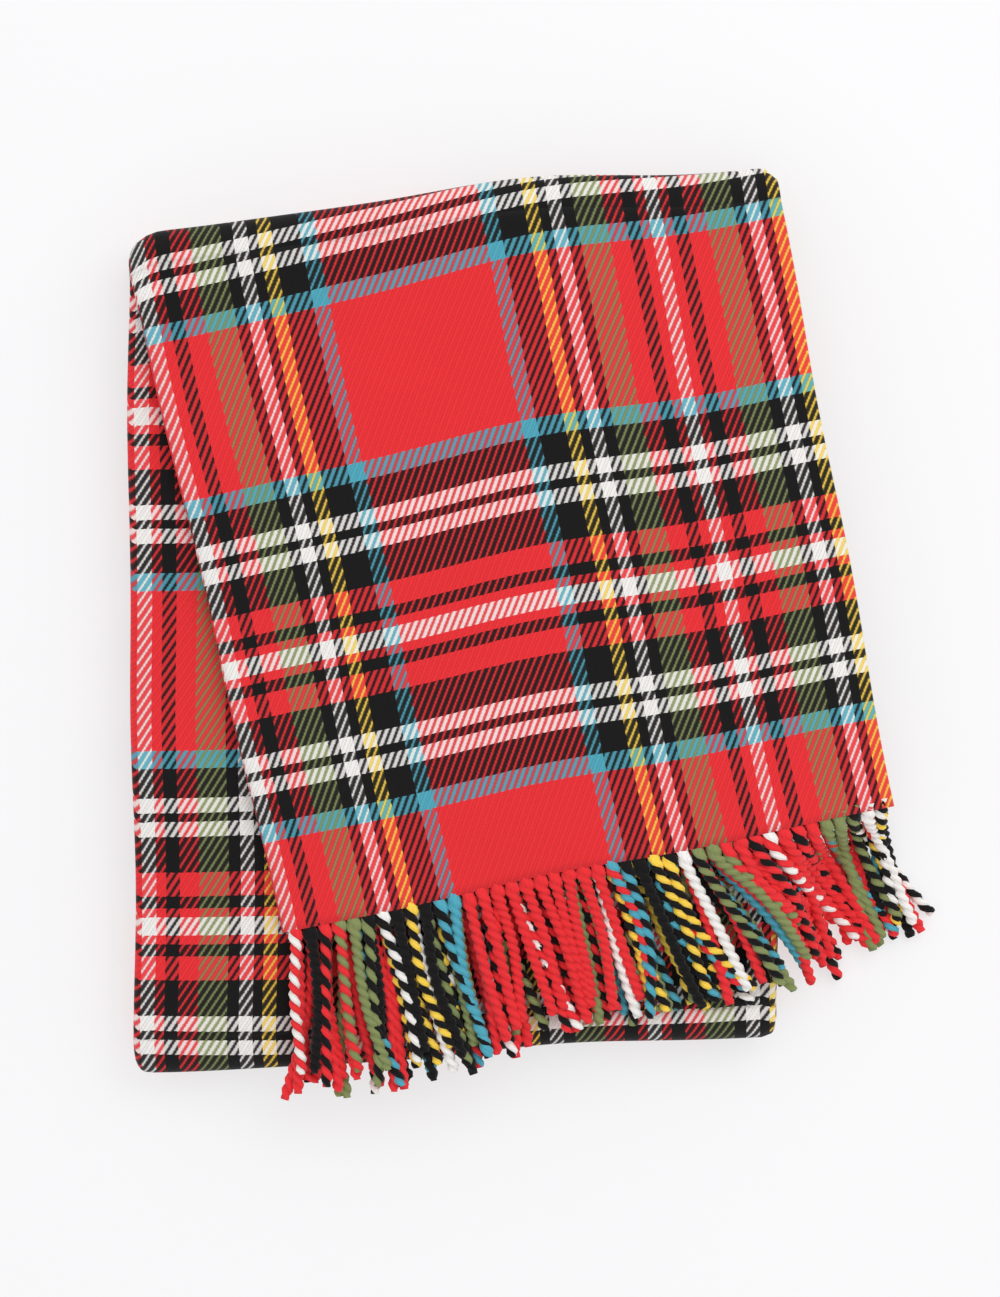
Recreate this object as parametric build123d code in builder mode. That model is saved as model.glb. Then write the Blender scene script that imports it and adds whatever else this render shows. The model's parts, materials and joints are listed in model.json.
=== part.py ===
"""Folded throw blanket: one woven cloth, folded twice along its length and three times across it.

The cloth is 1270 mm wide and 1524 mm long, with twisted tassels at both short ends. Folding it
twice lengthwise makes a strip four cloths thick. That strip is then folded zigzag into four
storeys: base, lower, upper and, turned askew over the top, the flap that carries the show fringe.

Frame: +Z up from the surface it lies on, +Y towards the top fold, origin under the middle of the
bounding box. Millimetres.
"""

import os
from math import cos, radians, sin, tan

from build123d import *

# Cloth
CLOTH = 2.0  # thickness of one cloth
PLY_PITCH = 2.3  # from one cloth to the next inside the strip
PLIES = 4  # cloths in the strip
STRIP_T = (PLIES - 1) * PLY_PITCH + CLOTH
STOREY = 10.0  # from the underside of one storey to the next
SPLAY = STOREY - STRIP_T  # free height between two storeys

# Plan of the pile
PILE_W = 322.0
FLAP_W = 318.0
CENTRE_X = 38.814  # pile's centre line to the middle of the bounding box
CENTRE_Y = 5.798
TOP_Y = 222.0  # crown of the top fold on the pile's centre line
BOTTOM_Y = -208.5  # crown of the bottom fold on the same line
TOP_TILT = 5.8  # degrees, the top fold rises to the right
BOTTOM_TILT = 3.1
FLAP_TILT = 2 * TOP_TILT  # a strip turned over a tilted fold leans by twice its tilt
FLAP_L = 343.0  # crown to hem
BASE_L = 331.0

# Rolled folds
ROLL_DEPTH = 17.0  # how far a fold's crown stands out past the flat cloth
SLACK = 0.3  # between a fold and the flat cloth it joins

# Tassels
TASSEL_L = 82.0
TASSEL_W = 5.6  # pressed flat by the pile
COLUMNS = 42
HEM_GAP = 0.5
LOCKS = {"left": (0, 12), "red": (12, 23), "right": (23, 33), "corner": (33, 42)}
ROWS = ("bottom", "third", "second", "top")

STRIP_RUN = 800.0  # a strip's length before it is trimmed
TRIM_T = STRIP_T + 2 * CLOTH

FLAP_Z = 3 * STOREY
UPPER_Z = 2 * STOREY
LOWER_Z = STOREY


def plan(x, y):
    """A point of the plan, from the pile's centre line to the shared frame."""
    return (x - CENTRE_X, y - CENTRE_Y)


def fold_point(crown_y, tilt, x, inset):
    """A point of a fold line, inset from its crown towards the pile's middle."""
    side = 1 if crown_y > 0 else -1
    drop = side * inset / cos(radians(tilt))
    return plan(x, crown_y + x * tan(radians(tilt)) - drop)


def strip_plane(x, y, z, tilt):
    """A section across a strip that runs down the plan and leans right by tilt."""
    lean = radians(tilt)
    return Plane(
        origin=(*plan(x, y), z),
        x_dir=(cos(lean), sin(lean), 0),
        z_dir=(sin(lean), -cos(lean), 0),
    )


def fold_plane(crown_y, tilt, width, axis_z):
    """A section across a fold at the end of its axis, with local x pointing outwards."""
    side = 1 if crown_y > 0 else -1
    slope = radians(tilt)
    x, y = fold_point(crown_y, tilt, -side * width / 2, ROLL_DEPTH)
    return Plane(
        origin=(x, y, axis_z),
        x_dir=(-side * sin(slope), side * cos(slope), 0),
        z_dir=(side * cos(slope), side * sin(slope), 0),
    )


def ply_base(ply, turned):
    """Underside of a cloth in the strip's section; a turned strip has its plies reversed."""
    return (PLIES - 1 - ply if turned else ply) * PLY_PITCH


def bend(radius, x, y, cut_x):
    """Half a ring, where one cloth turns back on itself."""
    with Locations((x, y)):
        Circle(radius + CLOTH / 2)
        Circle(radius - CLOTH / 2, mode=Mode.SUBTRACT)
    with Locations((x + cut_x, y)):
        Rectangle(2 * abs(cut_x), 2 * STRIP_T, mode=Mode.SUBTRACT)


def folded_section(width, turned):
    """The strip's section: four cloths, two bends at the left and one at the right."""
    left = -width / 2 + STRIP_T / 2
    right = width / 2 - PLY_PITCH / 2 - CLOTH / 2
    pair = (ply_base(3, turned) + ply_base(2, turned) + CLOTH) / 2
    bend(1.5 * PLY_PITCH, left, STRIP_T / 2, STRIP_T / 2)
    bend(0.5 * PLY_PITCH, left, STRIP_T / 2, STRIP_T / 2)
    bend(0.5 * PLY_PITCH, right, pair, -STRIP_T / 2)
    for ply in range(PLIES):
        with Locations(((left + right) / 2, ply_base(ply, turned) + CLOTH / 2)):
            Rectangle(right - left, CLOTH)


def rolled_section():
    """Four cloths turning together through half a turn, nested one inside the other."""
    for ply in reversed(range(PLIES)):
        rise = SPLAY / 2 + ply * PLY_PITCH
        reach = ROLL_DEPTH - STRIP_T + ply * PLY_PITCH
        Ellipse(reach + CLOTH, rise + CLOTH)
        Ellipse(reach, rise, mode=Mode.SUBTRACT)
    with Locations((-ROLL_DEPTH / 2, 0)):
        Rectangle(ROLL_DEPTH, 3 * STRIP_T, mode=Mode.SUBTRACT)


def pile_corners():
    """The flat part of the pile, from the bottom fold to the top fold."""
    inset = ROLL_DEPTH + SLACK
    half = PILE_W / 2
    return [
        fold_point(TOP_Y, TOP_TILT, -half, inset),
        fold_point(TOP_Y, TOP_TILT, half, inset),
        fold_point(BOTTOM_Y, BOTTOM_TILT, half, inset),
        fold_point(BOTTOM_Y, BOTTOM_TILT, -half, inset),
    ]


def strip_corners(tilt, length, width):
    """The flat part of a strip that ends in a hem, from the top fold to that hem."""
    lean = radians(tilt)
    half = width / 2
    hem_x = length * sin(lean)
    hem_y = TOP_Y - length * cos(lean)
    ends = [(hem_x + s * half * cos(lean), hem_y + s * half * sin(lean)) for s in (1, -1)]
    inset = ROLL_DEPTH + SLACK
    return [
        fold_point(TOP_Y, TOP_TILT, -width, inset),
        fold_point(TOP_Y, TOP_TILT, width, inset),
        plan(ends[0][0] + width * cos(lean), ends[0][1] + width * sin(lean)),
        plan(ends[1][0] - width * cos(lean), ends[1][1] - width * sin(lean)),
    ]


def strip_start(z, tilt, width):
    """Where a strip's section is drawn, beyond the top fold; the outlines trim it afterwards."""
    lean = radians(tilt)
    run_in = 2 * ROLL_DEPTH + width / 4
    return strip_plane(-run_in * sin(lean), TOP_Y + run_in * cos(lean), z, tilt)


def hem_plane(z, tilt, length):
    """The section just below a hem, where its tassels start."""
    lean = radians(tilt)
    reach = length + HEM_GAP
    return strip_plane(reach * sin(lean), TOP_Y - reach * cos(lean), z, tilt)


def tassel_row(width, first, last, row):
    """Tassels side by side, from column first up to column last."""
    pitch = width / COLUMNS
    height = row * PLY_PITCH + CLOTH / 2
    with Locations(*[(-width / 2 + pitch * (c + 0.5), height) for c in range(first, last)]):
        Ellipse(TASSEL_W / 2, CLOTH / 2)


os.makedirs("parts", exist_ok=True)

# The four storeys, each drawn out along its strip and then trimmed to its outline in plan

with BuildPart() as base_cloth:
    with BuildSketch(strip_start(0, 0, PILE_W)):
        folded_section(PILE_W, turned=False)
    extrude(amount=STRIP_RUN)
    with BuildSketch(Plane.XY.offset(-CLOTH)):
        Polygon(*strip_corners(0, BASE_L, PILE_W), align=None)
    extrude(amount=TRIM_T, mode=Mode.INTERSECT)
base_cloth.part.label = "base_cloth"
export_step(base_cloth.part, "parts/base_cloth.step")

with BuildPart() as lower_cloth:
    with BuildSketch(strip_start(LOWER_Z, 0, PILE_W)):
        folded_section(PILE_W, turned=True)
    extrude(amount=STRIP_RUN)
    with BuildSketch(Plane.XY.offset(LOWER_Z - CLOTH)):
        Polygon(*pile_corners(), align=None)
    extrude(amount=TRIM_T, mode=Mode.INTERSECT)
lower_cloth.part.label = "lower_cloth"
export_step(lower_cloth.part, "parts/lower_cloth.step")

with BuildPart() as upper_cloth:
    with BuildSketch(strip_start(UPPER_Z, 0, PILE_W)):
        folded_section(PILE_W, turned=False)
    extrude(amount=STRIP_RUN)
    with BuildSketch(Plane.XY.offset(UPPER_Z - CLOTH)):
        Polygon(*pile_corners(), align=None)
    extrude(amount=TRIM_T, mode=Mode.INTERSECT)
upper_cloth.part.label = "upper_cloth"
export_step(upper_cloth.part, "parts/upper_cloth.step")

with BuildPart() as flap_cloth:
    with BuildSketch(strip_start(FLAP_Z, FLAP_TILT, FLAP_W)):
        folded_section(FLAP_W, turned=True)
    extrude(amount=STRIP_RUN)
    with BuildSketch(Plane.XY.offset(FLAP_Z - CLOTH)):
        Polygon(*strip_corners(FLAP_TILT, FLAP_L, FLAP_W), align=None)
    extrude(amount=TRIM_T, mode=Mode.INTERSECT)
flap_cloth.part.label = "flap_cloth"
export_step(flap_cloth.part, "parts/flap_cloth.step")

# The three rolled folds that join them

with BuildPart() as rear_fold:
    with BuildSketch(fold_plane(TOP_Y, TOP_TILT, PILE_W, LOWER_Z - SPLAY / 2)):
        rolled_section()
    extrude(amount=PILE_W / cos(radians(TOP_TILT)))
rear_fold.part.label = "rear_fold"
export_step(rear_fold.part, "parts/rear_fold.step")

with BuildPart() as bottom_fold:
    with BuildSketch(fold_plane(BOTTOM_Y, BOTTOM_TILT, PILE_W, UPPER_Z - SPLAY / 2)):
        rolled_section()
    extrude(amount=PILE_W / cos(radians(BOTTOM_TILT)))
bottom_fold.part.label = "bottom_fold"
export_step(bottom_fold.part, "parts/bottom_fold.step")

with BuildPart() as top_fold:
    with BuildSketch(fold_plane(TOP_Y, TOP_TILT, PILE_W, FLAP_Z - SPLAY / 2)):
        rolled_section()
    extrude(amount=PILE_W / cos(radians(TOP_TILT)))
top_fold.part.label = "top_fold"
export_step(top_fold.part, "parts/top_fold.step")

# The show fringe: four locks across the flap's hem, one row of tassels to each cloth

for lock, (first, last) in LOCKS.items():
    for level, row in enumerate(ROWS):
        with BuildPart() as tassels:
            with BuildSketch(hem_plane(FLAP_Z, FLAP_TILT, FLAP_L)):
                tassel_row(FLAP_W, first, last, level)
            extrude(amount=TASSEL_L)
        tassels.part.label = f"tassels_{lock}_{row}"
        export_step(tassels.part, f"parts/tassels_{lock}_{row}.step")

# The rear fringe, tucked under the pile at the cloth's other end

for level, row in enumerate(ROWS):
    with BuildPart() as tassels:
        with BuildSketch(hem_plane(0, 0, BASE_L)):
            tassel_row(PILE_W, 0, COLUMNS, level)
        extrude(amount=TASSEL_L)
    tassels.part.label = f"rear_tassels_{row}"
    export_step(tassels.part, f"parts/rear_tassels_{row}.step")

print("top fold crown on the centre line", fold_point(TOP_Y, TOP_TILT, 0, 0))
print("bottom fold crown on the centre line", fold_point(BOTTOM_Y, BOTTOM_TILT, 0, 0))
print("hem", plan(FLAP_L * sin(radians(FLAP_TILT)), TOP_Y - FLAP_L * cos(radians(FLAP_TILT))))
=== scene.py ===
# %% [markdown]
# # A folded tartan throw
# One woven cloth lies folded in a pile: twice along its length, which makes a strip four cloths
# thick, and three times across it, so that the last storey, the flap, lies askew on top and shows
# its twisted fringe. Every length is in metres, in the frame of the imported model: +Z is up and
# +Y runs towards the top fold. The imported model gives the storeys, the fold lines and the hinges.

# %% Load the frame
import json
import math

import bpy
import numpy as np
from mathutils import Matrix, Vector


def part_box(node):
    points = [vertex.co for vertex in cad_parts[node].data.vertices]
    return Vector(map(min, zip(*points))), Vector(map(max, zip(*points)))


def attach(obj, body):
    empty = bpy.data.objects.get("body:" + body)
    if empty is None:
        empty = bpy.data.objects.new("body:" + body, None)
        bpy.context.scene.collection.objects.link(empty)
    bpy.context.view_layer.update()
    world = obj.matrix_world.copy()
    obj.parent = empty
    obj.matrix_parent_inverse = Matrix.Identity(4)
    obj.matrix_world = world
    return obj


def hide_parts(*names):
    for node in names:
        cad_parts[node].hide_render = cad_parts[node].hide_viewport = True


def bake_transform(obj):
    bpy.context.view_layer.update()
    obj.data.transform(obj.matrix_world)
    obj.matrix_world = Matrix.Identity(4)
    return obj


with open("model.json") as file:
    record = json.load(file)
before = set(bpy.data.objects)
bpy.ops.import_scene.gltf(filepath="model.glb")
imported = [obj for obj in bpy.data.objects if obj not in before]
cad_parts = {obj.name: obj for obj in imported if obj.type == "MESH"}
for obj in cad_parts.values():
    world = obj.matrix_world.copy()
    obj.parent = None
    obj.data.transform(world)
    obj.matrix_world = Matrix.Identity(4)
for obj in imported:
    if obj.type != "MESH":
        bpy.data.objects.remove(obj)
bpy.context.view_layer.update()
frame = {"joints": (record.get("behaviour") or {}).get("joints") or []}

hinges = {joint["name"]: joint for joint in frame["joints"]}
print("hinges:", ", ".join(hinges))

# %% [markdown]
# ## The camera first
# A folded throw is looked at from straight above, so the camera hangs over the pile with a long
# lens. A long lens keeps the storeys of the pile at nearly the same scale, as a closer camera
# with a wide lens would not: it would spread the top storey over the lower ones.

# %% Camera over the pile
VIEW_HEIGHT = 0.6485  # what the long side of the view covers
VIEW_CENTRE = (-0.0163, -0.0100)
LENS = 120.0
SENSOR = 36.0
TOP_OF_PILE = 0.034

camera = bpy.data.objects.new("camera", bpy.data.cameras.new("camera"))
camera.data.lens = LENS
camera.data.sensor_width = SENSOR
camera.location = (*VIEW_CENTRE, TOP_OF_PILE + VIEW_HEIGHT * LENS / SENSOR)
bpy.context.scene.collection.objects.link(camera)
bpy.context.scene.camera = camera
print("camera height", round(camera.location.z, 3))

# %% [markdown]
# ## Where the folds are
# A fold is a line on the plan. Its crown is the outermost line of the roll, and the hinge of the
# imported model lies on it. A strip that is turned over a fold line tilted by some angle leans by
# twice that angle, as folding a paper strip shows, and this is why the flap lies askew.


# %% Fold lines from the hinges
class FoldLine:
    """A fold's crown on the plan: a point on it, the direction along it and the one out of it."""

    def __init__(self, hinge, outward):
        axis = np.array(hinge["axis"][:2]) * np.sign(hinge["axis"][0])
        self.point = np.array(hinge["pos_m"][:2])
        self.tilt = math.atan2(axis[1], axis[0])
        self.along = axis / np.linalg.norm(axis)
        self.out = outward * np.array([-self.along[1], self.along[0]])

    def height(self, x, inset):
        """y of the line that runs inset inside the crown, at x on the plan."""
        start = self.point - inset * self.out
        return start[1] + (x - start[0]) * math.tan(self.tilt)


top_line = FoldLine(hinges["top_fold_open"], 1)
bottom_line = FoldLine(hinges["bottom_fold_open"], -1)
pile_x = top_line.point[0]
lean = 2 * top_line.tilt
flap_heading = np.array([math.sin(lean), -math.cos(lean)])
flap_across = np.array([math.cos(lean), math.sin(lean)])
hem_centre = np.array(hinges["lock_left_lift"]["pos_m"][:2])
flap_length = float((hem_centre - top_line.point) @ flap_heading)
rear_hem_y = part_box("base_cloth")[0].y


def storey_middle(node):
    """Height of the middle of a storey."""
    low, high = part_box(node)
    return (low.z + high.z) / 2


BASE_Z, LOWER_Z, UPPER_Z, FLAP_Z = (
    storey_middle(name) for name in ("base_cloth", "lower_cloth", "upper_cloth", "flap_cloth")
)
print("flap leans", round(math.degrees(lean), 1), "degrees and is", round(flap_length, 3), "long")

# %% [markdown]
# ## The strip's section
# The cloth is folded in half along its length, and in half again. Seen from its end, the strip is
# one line: the first cloth from its selvedge at the right to the wide bend at the left, the
# fourth cloth back to the bend at the right, the third cloth to the small bend inside the wide
# one, and the second cloth out to the other selvedge. One line, given a thickness, is all four
# cloths and their three bends, so nothing has to be joined afterwards.

# %% One line through four cloths
CLOTH = 0.0020
PITCH = 0.0023  # from one cloth to the next
STRIP_HALF = 0.1610
COLUMNS_SHOWN = 64  # steps across a cloth that shows
COLUMNS_HIDDEN = 14
BEND_STEPS = 8
WIDE_BEND = 1.5 * PITCH
SMALL_BEND = 0.5 * PITCH

left_end = -STRIP_HALF + WIDE_BEND + CLOTH / 2
right_end = STRIP_HALF - SMALL_BEND - CLOTH / 2


def run_across(start, end, height, steps):
    """A straight cloth: points at one height h, evenly spaced in u."""
    u = np.linspace(start, end, steps + 1)
    return np.stack([u, np.full_like(u, height)], axis=1)


def bend_round(centre_u, centre_h, radius, side, down):
    """Half a circle about (centre_u, centre_h) that bulges to one side, without its two ends."""
    angle = np.linspace(0, math.pi, BEND_STEPS + 1)[1:-1]
    u = centre_u + side * radius * np.sin(angle)
    h = centre_h + (radius if down else -radius) * np.cos(angle)
    return np.stack([u, h], axis=1)


def section_line():
    """(u, h) along the whole cloth: u across the strip, h out of its middle on the first cloth's side."""
    return np.concatenate([
        run_across(STRIP_HALF, left_end, 1.5 * PITCH, COLUMNS_SHOWN),
        bend_round(left_end, 0, WIDE_BEND, -1, True),
        run_across(left_end, right_end, -1.5 * PITCH, COLUMNS_SHOWN),
        bend_round(right_end, -PITCH, SMALL_BEND, 1, False),
        run_across(right_end, left_end, -0.5 * PITCH, COLUMNS_HIDDEN),
        bend_round(left_end, 0, SMALL_BEND, -1, False),
        run_across(left_end, STRIP_HALF, 0.5 * PITCH, COLUMNS_HIDDEN),
    ])


line = section_line()
steps = np.linalg.norm(np.diff(line, axis=0), axis=1)
along_line = np.concatenate([[0], np.cumsum(steps)])
wide_apex = along_line[COLUMNS_SHOWN] + WIDE_BEND * math.pi / 2
cloth_across = along_line - wide_apex  # 0 at the wide bend, the cloth's quarter line
print("cloth is", round(along_line[-1], 3), "wide, folded to", 2 * STRIP_HALF)

# %% [markdown]
# ## A skin round the line
# The line gets its thickness from its own normals: a point half a cloth to one side and a point
# half a cloth to the other. The two sides and a rounded tip at each selvedge make a closed loop,
# and a closed loop carried along the strip is a closed skin. Solidify would do the same to an
# open surface, but then the wool's two faces couldn't share one set of cloth coordinates.

# %% The closed loop
tangent = np.gradient(line, axis=0)
tangent /= np.linalg.norm(tangent, axis=1)[:, None]
normal = np.stack([-tangent[:, 1], tangent[:, 0]], axis=1)
TIP = 0.35 * CLOTH

loop = np.concatenate([
    line + normal * CLOTH / 2,
    line[-1:] + tangent[-1:] * TIP,
    line[::-1] - normal[::-1] * CLOTH / 2,
    line[:1] - tangent[:1] * TIP,
])
loop_across = np.concatenate([cloth_across, cloth_across[-1:], cloth_across[::-1], cloth_across[:1]])
loop_u, loop_h = loop.T
line_count = len(line)
print("loop of", len(loop), "points")

# %% [markdown]
# ## Where each point of the strip lies
# A storey is flat: its point is its place on the plan and its height. A roll is half an ellipse
# that grows from cloth to cloth, so the inner cloths turn tightly and the outer one goes round
# them all. Each shape is a function of u and h, and of f, which runs from 0 to 1 along the piece
# from the shown hem towards the rear hem.

# %% Storeys and rolls
ROLL = 0.0170  # from a crown to where the cloth is flat
ROLL_REACH = ROLL - 1.5 * PITCH - CLOTH / 2
HALF_STOREY = (UPPER_Z - LOWER_Z) / 2
FLAP_SHIFT = -0.0025  # the flap's middle lies a little to the left of the pile's
FLAP_TAPER = 0.028  # share of its width that the flap draws in by at its hem
CORNER = 0.007  # radius of a roll's corners on the plan


def spread_out(x, y, z):
    """Three coordinates, broadcast together and stacked as points."""
    return np.stack(np.broadcast_arrays(x, y, z), axis=-1)


def on_plan(fold, t, d):
    """x and y of a point t along a fold line and d out of it."""
    return (fold.point[0] + t * fold.along[0] + d * fold.out[0],
            fold.point[1] + t * fold.along[1] + d * fold.out[1])


def corner_share(u):
    """1 along a roll and less near its ends, as the quarter of an ellipse, so its corners are round."""
    past = np.clip((np.abs(u) - (STRIP_HALF - CORNER)) / CORNER, 0, 1)
    return 0.65 + 0.35 * np.sqrt(1 - past**2)


def flap_point(u, h, f):
    """The flap: q across and r down from the top fold's middle, r from the roll to the straight hem."""
    q_top = u + FLAP_SHIFT
    r_top = (ROLL + q_top * math.sin(top_line.tilt)) / math.cos(top_line.tilt)
    r = flap_length + (r_top - flap_length) * f
    q = u * (1 - FLAP_TAPER * np.clip(r / flap_length, 0, 1)) + FLAP_SHIFT
    x = top_line.point[0] + q * flap_across[0] + r * flap_heading[0]
    y = top_line.point[1] + q * flap_across[1] + r * flap_heading[1]
    return spread_out(x, y, FLAP_Z + h)


def roll_point(fold, u, h, f, middle_z, t_start, t_end):
    """Half an ellipse from the upper storey of a fold (f = 0) round to the lower one (f = 1)."""
    angle = math.pi * f
    reach = (ROLL_REACH + h) * np.sin(angle) * corner_share(u)
    x, y = on_plan(fold, t_start + (t_end - t_start) * f, -ROLL + reach)
    return spread_out(x, y, middle_z + (HALF_STOREY + h) * np.cos(angle))


def straight_t(fold, u):
    """Where a lengthwise line of the pile meets the edge of a roll, measured along the fold."""
    return (u + ROLL * fold.out[0]) / fold.along[0]


def top_roll_point(u, h, f):
    """The roll from the flap round to the upper storey; it shifts sideways as the strip leans."""
    q = u * (1 - FLAP_TAPER * ROLL / flap_length) + FLAP_SHIFT
    sine, cosine = math.sin(top_line.tilt), math.cos(top_line.tilt)
    t_flap = q * cosine + (ROLL + q * sine) * sine / cosine
    middle = (FLAP_Z + UPPER_Z) / 2
    return roll_point(top_line, u, h, f, middle, t_flap, straight_t(top_line, u))


def pile_point(u, h, f, y_start, y_end, middle_z, facing):
    """A storey of the pile between two edges; facing is 1 where the first cloth is on top."""
    return spread_out(pile_x + u, y_start + (y_end - y_start) * f, middle_z + facing * h)


def upper_point(u, h, f):
    """The upper storey, from the top roll down to the bottom roll."""
    x = pile_x + u
    return pile_point(u, h, f, top_line.height(x, ROLL), bottom_line.height(x, ROLL), UPPER_Z, -1)


def bottom_roll_point(u, h, f):
    """The roll at the bottom, where the fourth cloth goes round the outside."""
    t = straight_t(bottom_line, u)
    return roll_point(bottom_line, u, -h, f, (UPPER_Z + LOWER_Z) / 2, t, t)


def lower_point(u, h, f):
    """The lower storey, from the bottom roll back up to the rear roll."""
    x = pile_x + u
    return pile_point(u, h, f, bottom_line.height(x, ROLL), top_line.height(x, ROLL), LOWER_Z, 1)


def rear_roll_point(u, h, f):
    """The roll under the top fold, from the lower storey round to the base."""
    t = straight_t(top_line, u)
    return roll_point(top_line, u, h, f, (LOWER_Z + BASE_Z) / 2, t, t)


def base_point(u, h, f):
    """The base, from the rear roll down to the rear hem."""
    return pile_point(u, h, f, top_line.height(pile_x + u, ROLL), rear_hem_y, BASE_Z, -1)


print("rolls reach", round(ROLL_REACH + 1.5 * PITCH + CLOTH / 2, 4), "past the flat cloth")

# %% [markdown]
# ## Wool isn't ruled
# The shapes so far are as straight as a drawing. Real wool bows, swells and sinks, and it hangs
# where nothing is under it. One gentle field moves every point, so pieces that meet still meet:
# the top fold bows outwards and falls away at its left end, the bottom fold dips and rises, the
# left side swells, the whole pile rises and dips in long soft waves, and what reaches past the
# pile's right side sinks towards the table.

# %% The field that moves every point
BOW = 0.0075  # how far the top fold bows outwards
BOW_CENTRE = 0.025
BOW_WIDTH = 0.075
BOW_SHARED = 0.2  # share of the bow that is taken off everywhere, so the pile stays in place
SWELL = 0.0030  # how far the left side swells outwards
DROOP = 0.0080  # how far the top fold falls away at its left end
DROOP_WIDTH = 0.024
DIP = -0.0022  # the bottom fold dips left of its middle and rises right of it
EDGE_WAVER = 0.0006  # small waver of the lines that run across the pile
SIDE_WAVER = 0.0007  # and of those that run along it
SURFACE_WAVES = 0.045  # share of its height by which the pile rises and dips
HANG_RADIUS = 0.150
pile_right = pile_x + STRIP_HALF


def smooth(x, low, high):
    """0 below low, 1 above high and a smooth rise between them."""
    t = np.clip((x - low) / (high - low), 0, 1)
    return t * t * (3 - 2 * t)


def bell(x, centre, width):
    """A bell curve: 1 at centre and 1/e at width from it."""
    return np.exp(-(((x - centre) / width) ** 2))


def waves(x, y):
    """Sum of a few long sine waves in different directions, between about -1 and 1."""
    return (0.45 * np.sin(31 * x + 9 * y + 0.6) + 0.35 * np.sin(-17 * x + 27 * y + 2.1)
            + 0.20 * np.sin(58 * x - 21 * y + 4.0) + 0.15 * np.sin(13 * x + 71 * y + 1.2))


def relax(points):
    """Moves points as soft wool lies: bowed, swollen, waved, and sunk where it overhangs.

    Each term fades in over a stretch of the plan, so that it leaves the rest of the pile alone.
    """
    x, y, z = points[..., 0], points[..., 1], points[..., 2]
    u = x - pile_x
    bow = BOW * bell(u, BOW_CENTRE, BOW_WIDTH) - BOW_SHARED * BOW
    new_y = y + bow * smooth(y, -0.26, 0.26) + EDGE_WAVER * np.sin(47 * x + 1.0)
    dip = DIP * np.sin(math.pi * np.clip(u / STRIP_HALF, -1, 1))
    new_y = new_y - dip * smooth(-y, 0.10, 0.23)
    at_left_end = smooth(-u, STRIP_HALF + 0.004 - DROOP_WIDTH, STRIP_HALF + 0.004) ** 2
    new_y = new_y - DROOP * at_left_end * smooth(y, 0.10, 0.20)
    left = np.clip(-u / STRIP_HALF, 0, 1.1) ** 3
    new_x = x - SWELL * left * smooth(y, -0.15, 0.06) + SIDE_WAVER * np.sin(39 * y + 0.4)
    over = np.clip(x - pile_right, 0, None)
    sunk = over**2 / (2 * HANG_RADIUS)
    new_z = z * (1 + SURFACE_WAVES * waves(x, y)) - sunk * smooth(z, 0.01, 0.03)
    return np.stack([new_x, new_y, new_z], axis=-1)


overhang = float(flap_point(STRIP_HALF, 0.0, 0.0)[0] - pile_right)
print("overhang of", round(overhang, 3), "sinks by", round(overhang**2 / (2 * HANG_RADIUS), 4))

# %% [markdown]
# ## From arrays to meshes
# Every piece here is a bundle of tubes: closed loops of points, ring after ring. One function
# turns such an array into a mesh with foreach_set and from_pydata. It gives each face's corners
# their own cloth coordinates, so a colour can change sharply from one face to the next.


# %% A mesh from rings
def signed_volume(points, faces):
    """Volume inside quads that turn anticlockwise seen from outside, and negative otherwise."""
    a, b, c, d = (points[faces[:, k]] for k in range(4))
    return float((np.cross(a, b) * c).sum() + (np.cross(a, c) * d).sum()) / 6


def ring_faces(tubes, rings, around):
    """Quads between neighbouring rings of each tube, as vertex indices."""
    tube, ring, column = np.meshgrid(
        np.arange(tubes), np.arange(rings - 1), np.arange(around), indexing="ij")
    after = (column + 1) % around
    first = (tube * rings + ring) * around
    return np.stack([first + column, first + after, first + around + after,
                     first + around + column], axis=-1).reshape(-1, 4)


def corner_coordinates(across, along):
    """UV of the four corners of each quad, in the order of ring_faces."""
    left, right = across[:, :-1, :, 0], across[:, :-1, :, 1]
    left_next, right_next = across[:, 1:, :, 0], across[:, 1:, :, 1]
    after = np.roll(along, -1, axis=-1)
    return np.stack([
        np.stack([left, along[:, :-1]], axis=-1),
        np.stack([right, after[:, :-1]], axis=-1),
        np.stack([right_next, after[:, 1:]], axis=-1),
        np.stack([left_next, along[:, 1:]], axis=-1),
    ], axis=-2).reshape(-1, 4, 2)


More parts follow.
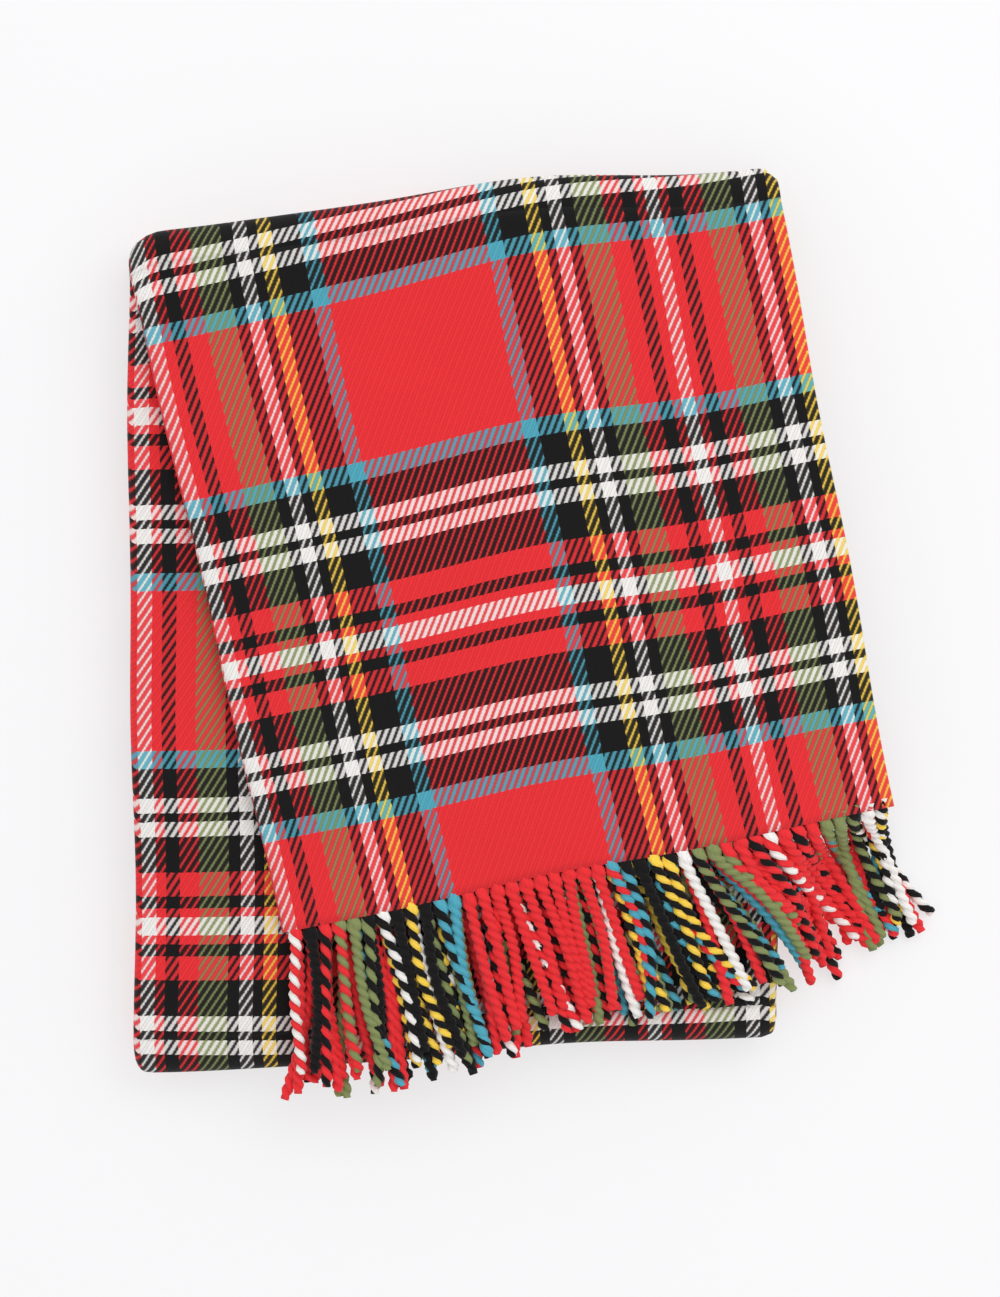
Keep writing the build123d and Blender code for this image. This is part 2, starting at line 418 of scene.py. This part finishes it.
def tube_mesh(name, rings, caps, across, along):
    """A closed mesh from rings[tube, ring, point], with the UV map 'cloth'.

    across[..., 0] and across[..., 1] are the cloth's crosswise coordinate at the two edges of each
    column of faces, along is the lengthwise one at each point, and caps are the faces of one end.
    """
    tubes, count, around, _ = rings.shape
    across = np.broadcast_to(across, (tubes, count, around, 2))
    along = np.broadcast_to(along, (tubes, count, around))
    points = rings.reshape(-1, 3)
    sides = ring_faces(tubes, count, around)
    side_uv = corner_coordinates(across, along)
    turned = signed_volume(points, sides) < 0
    if turned:
        sides, side_uv = sides[:, ::-1], side_uv[:, ::-1]
    faces = sides.tolist()
    for start in range(0, len(points), count * around):
        end = start + (count - 1) * around
        for cap in caps:
            near, far = [start + i for i in cap], [end + i for i in cap]
            faces += [near, far[::-1]] if turned else [near[::-1], far]
    mesh = bpy.data.meshes.new(name)
    mesh.from_pydata(points, [], faces)
    corner_points = np.zeros(len(mesh.loops), np.int32)
    mesh.loops.foreach_get("vertex_index", corner_points)
    uv = np.stack([across[..., 0], along], axis=-1).reshape(-1, 2)[corner_points]
    uv[: side_uv.size // 2] = side_uv.reshape(-1, 2)
    mesh.uv_layers.new(name="cloth").data.foreach_set("uv", uv.astype(np.float32).ravel())
    smooth_faces = np.zeros(len(mesh.polygons), bool)
    smooth_faces[: len(sides)] = True
    mesh.polygons.foreach_set("use_smooth", smooth_faces)
    mesh.update()
    piece = bpy.data.objects.new(name, mesh)
    bpy.context.scene.collection.objects.link(piece)
    print(name, len(mesh.polygons), "faces")
    return piece


# %% [markdown]
# ## Seven pieces of one cloth
# The cloth is cut where it lies flat, so each fold is a piece of its own apart from the storeys.
# The pieces are made in the order in which the cloth runs, and each takes its lengthwise
# cloth coordinate from where the last one ended, measured along every thread. The tartan then
# runs through the folds without a break, and the outer cloths of a roll use up more of it.

# %% Lay the cloth
FLAP_SLIP = 0.0057  # how far the lengthwise fold lies from the middle of its white stripe
PILE_SLIP = -0.0082
UPPER_CREEP = -0.0440  # how far the shown cloths have crept past each other in the top fold
WEFT_EXTRA = math.radians(0.8)  # the weft leans this much more than the fold's own line
LEVEL_UNTIL = -0.085  # right of this u the upper storey's weft follows the bottom fold

cap_quads = [[i, i + 1, 2 * line_count - 1 - i, 2 * line_count - i] for i in range(line_count - 1)]
cap_tips = [[line_count - 1, line_count, line_count + 1], [2 * line_count, 2 * line_count + 1, 0]]


def sideways_slip(start, end, f):
    """The crosswise coordinate of every face edge, slipping smoothly from start to end along f."""
    slip = (start + (end - start) * smooth(f, 0.3, 1.0))[:, None, None]
    return np.stack([loop_across, np.roll(loop_across, -1)], axis=-1)[None] + slip


def skewed(u):
    """How far the weft has been pulled up at u, so that it runs along the bottom fold."""
    return np.clip(u - LEVEL_UNTIL, 0, None) * math.tan(bottom_line.tilt + WEFT_EXTRA)


def lay(name, shape, rows, threads_used, slip):
    """One piece of the cloth: shape(u, h, f) over the loop and the rows, as a relaxed closed skin."""
    f = np.linspace(0, 1, rows + 1)
    flat = shape(loop_u[None], loop_h[None], f[:, None])
    used = np.linalg.norm(np.diff(flat, axis=0), axis=-1)
    along = threads_used + np.concatenate([np.zeros((1, len(loop))), np.cumsum(used, axis=0)])
    across = sideways_slip(*slip, f)
    piece = tube_mesh(name, relax(flat)[None], cap_quads + cap_tips, across[None], along[None])
    piece["rows"] = rows + 1
    return piece, along[-1], float((along[-1] - along[0]).mean())


still_flap, still_pile = (FLAP_SLIP, FLAP_SLIP), (PILE_SLIP, PILE_SLIP)
flap, used, flap_run = lay("flap", flap_point, 68, 0.0, still_flap)
top_roll, used, top_run = lay("top_roll", top_roll_point, 22, used, (FLAP_SLIP, PILE_SLIP))
crept = used + UPPER_CREEP + skewed(loop_u)
upper, used, upper_run = lay("upper_storey", upper_point, 80, crept, still_pile)
bottom_roll, used, bottom_run = lay("bottom_roll", bottom_roll_point, 22, used, still_pile)
lower, used, lower_run = lay("lower_storey", lower_point, 40, used, still_pile)
rear_roll, used, rear_run = lay("rear_roll", rear_roll_point, 22, used, still_pile)
base, used, base_run = lay("base_storey", base_point, 40, used, still_pile)
print("cloth is", round(float(used.mean()), 3), "long")

# %% [markdown]
# ## The fringe
# At each end of the cloth its lengthwise threads are twisted into cords, eight threads to a cord:
# two plies of four, turned round each other. A cord's section is the outline of two circles that
# overlap, and the section turns as it goes, so that the twist is a shape and not a picture. Each
# cord runs straight out of the hem, then leans the way the whole fringe was combed, and comes to
# rest at the height of the pile, or right of the pile at the height of the table.

# %% The section of a twisted cord
WARP_HALF_REPEAT = 129  # threads in half a repeat of the tartan
THREAD = 0.127 / WARP_HALF_REPEAT  # from one warp thread to the next
PLY_THREADS = 4
PLY_RADIUS = 0.00205
PLY_OFFSET = 0.00105
TWIST = 0.0100  # length of one full turn
CORD_LENGTH = 0.082
random = np.random.default_rng(11)  # seeded, so the same cords come out every time
lobe = np.radians([-80, -45, 0, 45, 80])
cord_angle = np.concatenate([lobe, lobe + math.pi])
cord_reach = (PLY_OFFSET * np.abs(np.cos(cord_angle))
              + np.sqrt(PLY_RADIUS**2 - (PLY_OFFSET * np.sin(cord_angle)) ** 2))
cord_caps = [list(range(len(cord_angle)))]

# The crosswise coordinate inside a ply, in threads, at both edges of each column of faces
PLY_EDGE = 0.02
first_ply = np.interp(np.arange(5), [0, 4], [PLY_EDGE, PLY_THREADS - PLY_EDGE])
ply_left = np.concatenate([first_ply, first_ply + PLY_THREADS])
ply_right = np.concatenate([first_ply[1:], first_ply[-1:], first_ply[1:] + PLY_THREADS,
                            first_ply[-1:] + PLY_THREADS])
ply_edges = np.stack([ply_left, ply_right], axis=-1)
print("cord", round(2000 * (PLY_RADIUS + PLY_OFFSET), 1), "mm thick")


# %% Cords along their paths
def cloth_at(level, u):
    """Crosswise coordinate of the cloth at a level of the flap (0 lowest, 3 top) and a place u."""
    turn = WIDE_BEND * math.pi / 2
    small = SMALL_BEND * math.pi
    if level == 3:
        return -(turn + u - left_end)
    if level == 0:
        return turn + u - left_end
    if level == 1:
        return turn + (right_end - left_end) + small + (right_end - u)
    return turn + 2 * (right_end - left_end) + 2 * small + (u - left_end)


def cords(name, path, across, angle_at, wide, tall):
    """Twisted cords along path[cord, ring, xyz]; across is each cord's coordinate in the cloth.

    The section stands square to the path: its sideways axis is level and its second one is the
    sideways axis turned a quarter about the path. angle_at turns it, and wide and tall stretch it.
    """
    step = np.gradient(path, axis=1)
    run = np.linalg.norm(step, axis=-1)
    ahead = step / run[..., None]
    aside = np.cross(ahead, [0, 0, 1.0])
    aside /= np.linalg.norm(aside, axis=-1)[..., None]
    above = np.cross(aside, ahead)
    length = np.cumsum(run, axis=1) - run[:, :1]
    angle = cord_angle[None, None] + angle_at[..., None]
    sideways = cord_reach * np.cos(angle) * wide[..., None]
    upwards = cord_reach * np.sin(angle) * tall[..., None]
    rings = (path[:, :, None] + sideways[..., None] * aside[:, :, None]
             + upwards[..., None] * above[:, :, None])
    stray = PLY_THREADS / 2
    gathered = across / THREAD + random.uniform(-stray, stray, len(across))
    first_thread = PLY_THREADS * (np.round(gathered / PLY_THREADS) - 1)
    u = (first_thread[:, None, None, None] + ply_edges[None, None]) * THREAD
    return tube_mesh(name, rings, cord_caps, u, length[..., None])


# %% [markdown]
# ## How the fringe was combed
# The left cords hang a little to the left, those in the middle lean to the right and the ones past
# the middle lean most, where they cross their neighbours. One bell curve and a short decay at each
# side say this. The seeded generator adds what no rule says: neighbours lean together in clumps,
# and each cord has its own length, curl and wag.

# %% The show fringe
CORDS = 42
RINGS = 72
PER_LOCK = {"left": (0, 12), "red": (12, 23), "right": (23, 33), "corner": (33, 42)}
ROW_NAMES = ("bottom", "third", "second", "top")
CORD_RADIUS = PLY_RADIUS + PLY_OFFSET
REST = UPPER_Z + 1.5 * PITCH + CLOTH / 2  # top of the upper storey
ROW_RISE = 0.0026
ROOT_INSIDE = 0.0050  # the cords start this far inside the hem and grow out of the cloth
SHOW_INSET = 0.0030  # how far inside the strip's sides the outer cords start
UNEVEN = (-0.010, 0.005)  # how much shorter or longer a cord may be
ROW_LONGER = 0.0015  # each row is this much longer than the one above it
RIGHT_SHORTER = 0.010
MIDDLE_SHORTER = 0.009
UNRULY = 0.8  # how much more the cords past the middle stray than the others
TIP_TAPER = 0.3  # share of its thickness that a cord loses at its tip

# All of these are in degrees
LEFT_SPLAY = 20  # the leftmost cords hang outwards
CREST_LEAN = 29  # the cords past the middle lean most
RIGHT_CALM = 14  # and the rightmost ones less again
CLUMP_TILT = 5.0  # neighbours share this
OWN_TILT = 2.5
ROW_TILT = 2.6  # a row adds this once for each row above it
OWN_CURL = 9.0
ROW_CURL = 3.0
WAG = 4.0

clump = np.convolve(random.normal(0, 1, CORDS + 2), [0.5, 0.7, 0.5], "valid")
tilt_of_cord = CLUMP_TILT * clump + random.normal(0, OWN_TILT, CORDS)
curl_of_cord = random.normal(0, OWN_CURL, CORDS)


def combed(share):
    """Lean of a cord in degrees, at its share of the way across the hem from left to right."""
    at_left = LEFT_SPLAY * np.exp(-share / 0.06)
    at_right = RIGHT_CALM * np.exp(-(1 - share) / 0.06)
    return -at_left + CREST_LEAN * bell(share, 0.73, 0.24) - at_right


def rest_height(x, level):
    """Height of a cord's middle: on the upper storey, falling to the table right of the pile."""
    off = smooth(x, pile_right - 0.004, pile_right + 0.040)
    on_pile = REST + CORD_RADIUS + ROW_RISE * level
    on_table = CORD_RADIUS + 0.7 * ROW_RISE * level
    return on_pile + (on_table - on_pile) * off


def summed(start, steps):
    """Places that begin at start and go on by steps, ring after ring."""
    return start + np.cumsum(steps, axis=1) - steps[:, :1]


def fringe_path(level):
    """Centre lines of one row: even steps whose heading and height change smoothly along them."""
    share = (np.arange(CORDS) + 0.5) / CORDS
    u = (2 * share - 1) * (STRIP_HALF - SHOW_INSET)
    root_h = (level - 1.5) * PITCH
    inside = ROOT_INSIDE * random.uniform(0.5, 1.0, CORDS)
    root = relax(flap_point(u, np.full(CORDS, root_h), inside / (flap_length - ROLL)))
    s = np.linspace(0, 1, RINGS)[None]
    length = CORD_LENGTH + inside + random.uniform(*UNEVEN, CORDS) + ROW_LONGER * (3 - level)
    length = length - RIGHT_SHORTER * smooth(share, 0.86, 1.0)
    length = length - MIDDLE_SHORTER * bell(share, 0.47, 0.15)
    unruly = 1 + UNRULY * bell(share, 0.75, 0.2)
    tilt = combed(share) + unruly * (tilt_of_cord + (3 - level) * random.normal(0, ROW_TILT, CORDS))
    curl = unruly * (curl_of_cord + random.normal(0, ROW_CURL, CORDS))
    wag = random.normal(0, WAG, CORDS)
    tilted = tilt[:, None] * smooth(s, 0, 0.28)
    curled = curl[:, None] * (s - 0.3) * smooth(s, 0.1, 0.7)
    wagged = wag[:, None] * np.sin(2 * math.pi * s) * smooth(s, 0, 0.2)
    heading = lean + np.radians(tilted + curled + wagged)
    step = length[:, None] / (RINGS - 1)
    x = summed(root[:, :1], np.sin(heading) * step)
    y = summed(root[:, 1:2], -np.cos(heading) * step)
    settle = smooth(s, 0.0, 0.45)
    lift = random.uniform(-0.0006, 0.0010, CORDS)[:, None] * smooth(s, 0.1, 0.6)
    z = root[:, 2:] * (1 - settle) + (rest_height(x, level) + lift) * settle
    fall = np.gradient(z, axis=1) / step
    level_share = np.sqrt(np.clip(1 - fall**2, 0.2, 1))  # a falling step covers less of the plan
    x = summed(root[:, :1], np.gradient(x, axis=1) * level_share)
    y = summed(root[:, 1:2], np.gradient(y, axis=1) * level_share)
    return np.stack([x, y, z], axis=-1), cloth_at(level, u) + FLAP_SLIP, s


def twist(s, count):
    """Angle of the section: level at the hem, then turning steadily after a seeded first turn."""
    first = random.uniform(-1.2, 1.2, count)[:, None]
    pace = random.uniform(0.9, 1.1, count)[:, None]
    begun = smooth(s, 0, 0.12)
    return first * begun + pace * 2 * math.pi * CORD_LENGTH / TWIST * (s - 0.05 * begun)


ROOT_WIDE = 1.2 * (2 * STRIP_HALF / CORDS) / (2 * CORD_RADIUS)  # cords overlap along the hem
ROOT_TALL = 0.30  # and are thinner there than the cloth

show_fringe = []
for level, row in enumerate(ROW_NAMES):
    path, across, s = fringe_path(level)
    angle_at = twist(s, CORDS)
    formed = smooth(s, 0.03, 0.20)
    tip = 1 - TIP_TAPER * smooth(s, 0.97, 1.0)
    wide = (ROOT_WIDE + (1 - ROOT_WIDE) * formed) * tip + 0 * angle_at
    tall = (ROOT_TALL + (1 - ROOT_TALL) * formed) * tip + 0 * angle_at
    for lock, (first, last) in PER_LOCK.items():
        part = slice(first, last)
        piece = cords(f"fringe_{lock}_{row}", path[part], across[part], angle_at[part],
                      wide[part], tall[part])
        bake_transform(piece)
        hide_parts(f"tassels_{lock}_{row}")
        show_fringe.append(piece)

# %% [markdown]
# ## The fringe under the pile
# The cloth's other end lies under the pile. Its cords are pressed flat there and hardly seen, so
# they stay nearly parallel and get fewer rings.

# %% The rear fringe
REAR_RINGS = 20
REAR_INSET = 0.0080  # how far inside the strip's sides the outer cords stay
MOST_SWAY = 2.5  # degrees
PRESSED = 0.40  # height of a pressed cord, as a share of a round one's


def rear_path(level):
    """Straight cords from the rear hem, with a small seeded sway."""
    u = ((np.arange(CORDS) + 0.5) / CORDS * 2 - 1) * (STRIP_HALF - REAR_INSET)
    s = np.linspace(0, 1, REAR_RINGS)[None]
    sway = np.clip(random.normal(0, 1.5, CORDS), -MOST_SWAY, MOST_SWAY)
    sway = np.radians(sway)[:, None]
    x = pile_x + u[:, None] + CORD_LENGTH * s * np.sin(sway)
    y = rear_hem_y - CORD_LENGTH * s * np.cos(sway)
    z = BASE_Z + (level - 1.5) * PITCH + 0 * x
    return relax(np.stack([x, y, z], axis=-1)), cloth_at(3 - level, u) + PILE_SLIP, s


rear_fringe = []
for level, row in enumerate(ROW_NAMES):
    path, across, s = rear_path(level)
    angle_at = twist(s, CORDS)
    full_width = np.ones_like(angle_at)
    piece = cords(f"rear_fringe_{row}", path, across, angle_at, full_width, PRESSED * full_width)
    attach(piece, "pile")
    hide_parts(f"rear_tassels_{row}")
    rear_fringe.append(piece)

# %% [markdown]
# ## What each piece rides on
# A storey rides on its body, and the roll under the top fold rides with the pile. The top and
# bottom rolls are only baked in place and ride on no body.


# %% Ride and bake
def bend_along(piece):
    """Bakes a roll into place and works out weights that follow the rows of its own mesh; nothing uses
    them.
    """
    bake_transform(piece)
    rows = int(piece["rows"])
    weight = np.repeat(smooth(np.linspace(1, 0, rows), 0, 1), len(loop))


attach(flap, "flap")
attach(upper, "upper")
for piece in (lower, rear_roll, base):
    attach(piece, "pile")
bend_along(top_roll)
bend_along(bottom_roll)

stands_for = {
    flap: ("flap_cloth", flap_run), top_roll: ("top_fold", top_run),
    upper: ("upper_cloth", upper_run), bottom_roll: ("bottom_fold", bottom_run),
    lower: ("lower_cloth", lower_run), rear_roll: ("rear_fold", rear_run),
    base: ("base_cloth", base_run),
}
for piece, (node, run) in stands_for.items():
    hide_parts(node)

# %% [markdown]
# ## Shader maths as Python
# A woven pattern is arithmetic on cloth coordinates. This small class wraps a socket and gives it
# Python's operators, so that a formula reads as a formula. Each operator adds one Math node.


# %% A socket with operators
class Value:
    """A number that varies over the surface: a socket of a node tree, with operators."""

    def __init__(self, tree, socket):
        self.tree = tree
        self.socket = socket

    def node(self, kind, settings=None, output=0, **inputs):
        """Adds a node, sets its settings, then its sockets, and wraps one of its outputs.

        A socket is given by its name, with _ for a space, or as s0, s1 and so on by its number.
        """
        added = self.tree.nodes.new(kind)
        for name, value in (settings or {}).items():
            setattr(added, name, value)
        for name, value in inputs.items():
            key = int(name[1:]) if name[1:].isdigit() else name.replace("_", " ")
            if isinstance(value, Value):
                self.tree.links.new(value.socket, added.inputs[key])
            else:
                added.inputs[key].default_value = value
        return Value(self.tree, added.outputs[output])

    def math(self, operation, *values):
        """A Math node of these values."""
        named = {f"s{i}": value for i, value in enumerate(values)}
        return self.node("ShaderNodeMath", {"operation": operation}, **named)

    def __add__(self, other):
        return self.math("ADD", self, other)

    def __sub__(self, other):
        return self.math("SUBTRACT", self, other)

    def __mul__(self, other):
        return self.math("MULTIPLY", self, other)

    def __truediv__(self, other):
        return self.math("DIVIDE", self, other)

    def __rsub__(self, other):
        return self.math("SUBTRACT", other, self)

    __radd__ = __add__
    __rmul__ = __mul__

    def floor(self):
        return self.math("FLOOR", self)

    def fract(self):
        return self.math("FRACT", self)

    def full(self):
        """A colour from its root."""
        return self.node("ShaderNodeGamma", Color=self, Gamma=WOOL_GAMMA)

    def size(self):
        return self.math("ABSOLUTE", self)

    def sine(self):
        return self.math("SINE", self)

    def mirrored(self, span):
        """Goes up from 0 to span and back down, over and over."""
        return self.math("PINGPONG", self, span)

    def step_up(self, low, high):
        """0 below low, 1 above high and a smooth rise between them."""
        return self.node("ShaderNodeMapRange", {"interpolation_type": "SMOOTHSTEP"},
                         s0=self, s1=low, s2=high, s3=0.0, s4=1.0)

    def mix(self, first, second):
        """The first colour where this is 0 and the second where it is 1."""
        return self.node("ShaderNodeMix", {"data_type": "RGBA", "blend_type": "MIX"}, 2,
                         s0=self, s6=first, s7=second)

    def shaded(self, light):
        """This colour times a number that varies over the surface."""
        return self.node("ShaderNodeMix", {"data_type": "RGBA", "blend_type": "MULTIPLY"}, 2,
                         s0=1.0, s6=self, s7=self.point(light, light, light))

    def noise(self, point, scale, detail=2.0):
        """Fractal noise at a point, between 0 and 1."""
        return self.node("ShaderNodeTexNoise", {"noise_dimensions": "3D"},
                         Vector=point, Scale=scale, Detail=detail)

    def point(self, x, y, z=0.0):
        return self.node("ShaderNodeCombineXYZ", X=x, Y=y, Z=z)


# %% [markdown]
# ## The sett
# A tartan is a sequence of threads that is mirrored about its two pivots. The same sequence, or
# nearly the same, runs lengthwise as warp and crosswise as weft. Half a repeat is enough, because
# the shader walks it up and down like a ping-pong ball. Each colour covers a count of threads,
# and the two pivots, white and red, are written at half their width.

# %% Yarns and their order
YARNS = {
    "white": (0.86, 0.83, 0.79),
    "red": (0.80, 0.030, 0.036),
    "black": (0.0075, 0.0065, 0.0065),
    "green": (0.225, 0.265, 0.100),
    "yellow": (0.93, 0.62, 0.075),
    "blue": (0.080, 0.370, 0.470),
}
WARP = (("white", 3.5), ("red", 5), ("black", 7), ("red", 10), ("green", 15), ("black", 6),
        ("white", 7), ("black", 5), ("yellow", 7), ("black", 14), ("blue", 8), ("red", 41.5))
WEFT = (("white", 3), ("red", 3), ("black", 4), ("red", 8), ("black", 12), ("white", 5),
        ("black", 3), ("white", 5), ("black", 10), ("blue", 6), ("red", 27))
WOOL_GAMMA = 2.6  # fuzzy wool mixes darker than light does: colours are mixed as their roots
WEFT_HALF_REPEAT = 86  # threads in half a repeat along the cloth
PICK = 0.12825 / WEFT_HALF_REPEAT  # from one weft thread to the next
PIVOT_FROM_CROWN = 0.2100  # from the top fold's crown to the weft's white pivot on the flap
FIRST_PICK = -(flap_length - PIVOT_FROM_CROWN) / PICK


def thread_colours(value, sequence, thread):
    """The colour of thread number thread: a ramp with hard stops over half a repeat."""
    total = sum(count for _, count in sequence)
    place = thread.mirrored(total) / total
    ramp = value.tree.nodes.new("ShaderNodeValToRGB")
    ramp.color_ramp.interpolation = "CONSTANT"
    while len(ramp.color_ramp.elements) > 1:
        ramp.color_ramp.elements.remove(ramp.color_ramp.elements[-1])
    start = 0.0
    for index, (yarn, count) in enumerate(sequence):
        stop = ramp.color_ramp.elements[0] if index == 0 else ramp.color_ramp.elements.new(start)
        stop.position = start
        stop.color = (*(channel ** (1 / WOOL_GAMMA) for channel in YARNS[yarn]), 1)
        start += count / total
    value.tree.links.new(place.socket, ramp.inputs[0])
    return Value(value.tree, ramp.outputs[0])


print("a repeat is", round(2 * WARP_HALF_REPEAT * THREAD, 3), "across and",
      round(2 * WEFT_HALF_REPEAT * PICK, 3), "along")

# %% [markdown]
# ## Twill
# In a 2/2 twill each thread passes over two threads and under two, one step further on in each
# row, which draws diagonal ribs. Number the threads: where warp number plus weft number, divided
# by four, leaves a small rest, the weft is on top, and elsewhere the warp. The ribs take the
# colour of whichever thread is on top, so stripes crossing stripes give the tartan's blends.


# %% The woven material
WEFT_SHARE = 0.61  # how far into each four threads the weft starts to give way to the warp
RIB_EDGE = 0.30  # share of four threads over which one yarn gives way to the other
FUZZ = 0.11  # share of the other yarn that shows through a rib
# painted shade: the colour is darkened by RIB_SHADE in the valley between two ribs
RIB_SHADE = 0.24  # how dark the valley between two ribs is
STAIR = 0.10  # a rib steps from thread to thread by this much
WAVER = 0.5  # how many threads the edge of a stripe strays by


def wool_surface(name):
    """A new material with a wool-like shader; returns it, its shader and a Value to build with."""
    material = bpy.data.materials.new(name)
    material.use_nodes = True
    shader = material.node_tree.nodes["Principled BSDF"]
    shader.inputs["Sheen Weight"].default_value = 0.12
    shader.inputs["Sheen Roughness"].default_value = 0.5
    shader.inputs["Specular IOR Level"].default_value = 0.15
    return material, shader, Value(material.node_tree, None)


def connect(value, socket):
    """Joins a value to a socket of the shader."""
    value.tree.links.new(value.socket, socket)


def cloth_coordinates(make):
    """The cloth's coordinates in metres: both as one vector, then across and along on their own."""
    uv = make.node("ShaderNodeUVMap", {"uv_map": "cloth"})
    across = make.node("ShaderNodeSeparateXYZ", Vector=uv)
    return uv, across, Value(make.tree, across.socket.node.outputs[1])


def tartan():
    """Ribs of warp and weft on top in turn, with fibres, painted shade in the grooves between ribs and a
    little unevenness.
    """
    material, shader, make = wool_surface("tartan_twill")
    uv, across, along = cloth_coordinates(make)
    wander = make.noise(uv, 700.0, 1.0) - 0.5
    warp_number = across / THREAD
    pick_number = along / PICK + FIRST_PICK
    waver_warp = warp_number + wander * WAVER
    waver_pick = pick_number + wander * WAVER
    warp = thread_colours(make, WARP, (waver_warp + 0.5).floor())
    weft = thread_colours(make, WEFT, waver_pick.floor() + 0.5)
    warp_stair = (warp_number * (2 * math.pi)).sine() * STAIR
    pick_stair = (pick_number * (2 * math.pi)).sine() * STAIR
    stairs = warp_stair + pick_stair
    rib = ((warp_number + pick_number - stairs + wander * 0.55) / 4).fract()
    on_top = rib.step_up(0.0, RIB_EDGE) * (1 - rib.step_up(WEFT_SHARE, WEFT_SHARE + RIB_EDGE))
    colour = (FUZZ + on_top * (1 - 2 * FUZZ)).mix(warp, weft).full()
    fibres = make.noise(make.point(warp_number * 1.3, pick_number * 1.9), 1.0, 3.0)
    patches = make.noise(uv, 14.0, 2.0)
    valley = 1 - (on_top * 2 - 1).size()
    # fibres and patches vary the wool's tone; the valley term is painted shade in the grooves between the
    # ribs
    light = 0.89 + fibres * 0.22 + patches * 0.10 - valley * RIB_SHADE
    connect(colour.shaded(light), shader.inputs["Base Color"])
    connect(0.80 + fibres * 0.18, shader.inputs["Roughness"])
    height = fibres * 0.7 - valley * 0.5
    bump = make.node("ShaderNodeBump", Strength=0.55, Distance=0.00045, Height=height)
    connect(bump, shader.inputs["Normal"])
    return material


# %% [markdown]
# ## Yarn
# Each ply of a cord has one colour, that of its middle thread. The warp's own ramp gives it, so
# the fringe matches the cloth above it. The ply's four strands show as faint painted lines of light
# and shade that wind round it, and painted shade darkens it towards the valley where the two plies meet.


# %% The yarn material
THREADS_PER_METRE = 420.0  # how fast the strands wind round their ply


def yarn():
    """One colour for each ply, faint strands of painted light and shade round it, soft fibres and painted
    shade in the valley between.
    """
    material, shader, make = wool_surface("twisted_yarn")
    _, across, along = cloth_coordinates(make)
    thread = across / THREAD
    ply = (thread / PLY_THREADS).floor() * PLY_THREADS
    place = ((thread - ply + along * THREADS_PER_METRE) / PLY_THREADS).fract() * PLY_THREADS
    colour = thread_colours(make, WARP, ply + PLY_THREADS / 2).full()
    in_ply = ((thread - ply) / PLY_THREADS * math.pi).sine()
    strand = (place.fract() * math.pi).sine()
    fibres = make.noise(make.point(thread * 1.5, along * 2500.0), 1.0, 3.0)
    # in_ply is painted shade towards the edges of each ply, where the plies meet; strand paints faint
    # light and shade along the strands; fibres vary the wool's tone
    light = 0.76 + in_ply * 0.18 + strand * 0.08 + fibres * 0.24
    connect(colour.shaded(light), shader.inputs["Base Color"])
    connect(0.82 + fibres * 0.15, shader.inputs["Roughness"])
    height = strand * 0.7 + fibres * 0.5
    bump = make.node("ShaderNodeBump", Strength=0.5, Distance=0.0004, Height=height)
    connect(bump, shader.inputs["Normal"])
    return material


cloth_material, yarn_material = tartan(), yarn()
for piece in stands_for:
    piece.data.materials.append(cloth_material)
for piece in show_fringe + rear_fringe:
    piece.data.materials.append(yarn_material)
print("materials:", cloth_material.name, yarn_material.name)

# %% [markdown]
# ## Table and light
# A pale surround throws soft light from all sides, as in a white studio. The table is a mid grey
# that also gives off light of its own, so it looks pale and shadows on it stay faint. One wide
# lamp above and to one side gives the ribs and the cords their small shadows.

# %% Studio
TABLE_HALF = 3.0
TABLE_Z = -0.0004  # a hair below the lowest cloth, which dips a little

table = bpy.data.objects.new("table", bpy.data.meshes.new("table"))
square = ((-1, -1), (1, -1), (1, 1), (-1, 1))
table_corners = [(x * TABLE_HALF, y * TABLE_HALF, TABLE_Z) for x, y in square]
table.data.from_pydata(table_corners, [], [(0, 1, 2, 3)])
bpy.context.scene.collection.objects.link(table)
paper = bpy.data.materials.new("paper")
paper.use_nodes = True
paper_look = paper.node_tree.nodes["Principled BSDF"].inputs
paper_look["Base Color"].default_value = (0.36, 0.36, 0.37, 1)
paper_look["Roughness"].default_value = 0.9
paper_look["Emission Color"].default_value = (1.0, 0.99, 0.985, 1)
paper_look["Emission Strength"].default_value = 0.59
table.data.materials.append(paper)

world = bpy.data.worlds.new("surround")
world.use_nodes = True
world.node_tree.nodes["Background"].inputs["Color"].default_value = (0.97, 0.98, 1.0, 1)
world.node_tree.nodes["Background"].inputs["Strength"].default_value = 0.86
bpy.context.scene.world = world
bpy.context.scene.view_settings.view_transform = "Standard"  # yarn colours come out as they are


def lamp(name, place, aim, size, power):
    """A square area lamp at place, facing aim."""
    light = bpy.data.objects.new(name, bpy.data.lights.new(name, "AREA"))
    light.data.size = size
    light.data.energy = power
    light.location = place
    light.rotation_euler = (Vector(aim) - light.location).to_track_quat("-Z", "Y").to_euler()
    bpy.context.scene.collection.objects.link(light)


lamp("wide_lamp", place=(0.7, 0.9, 1.5), aim=(0, 0, 0), size=1.4, power=9.0)
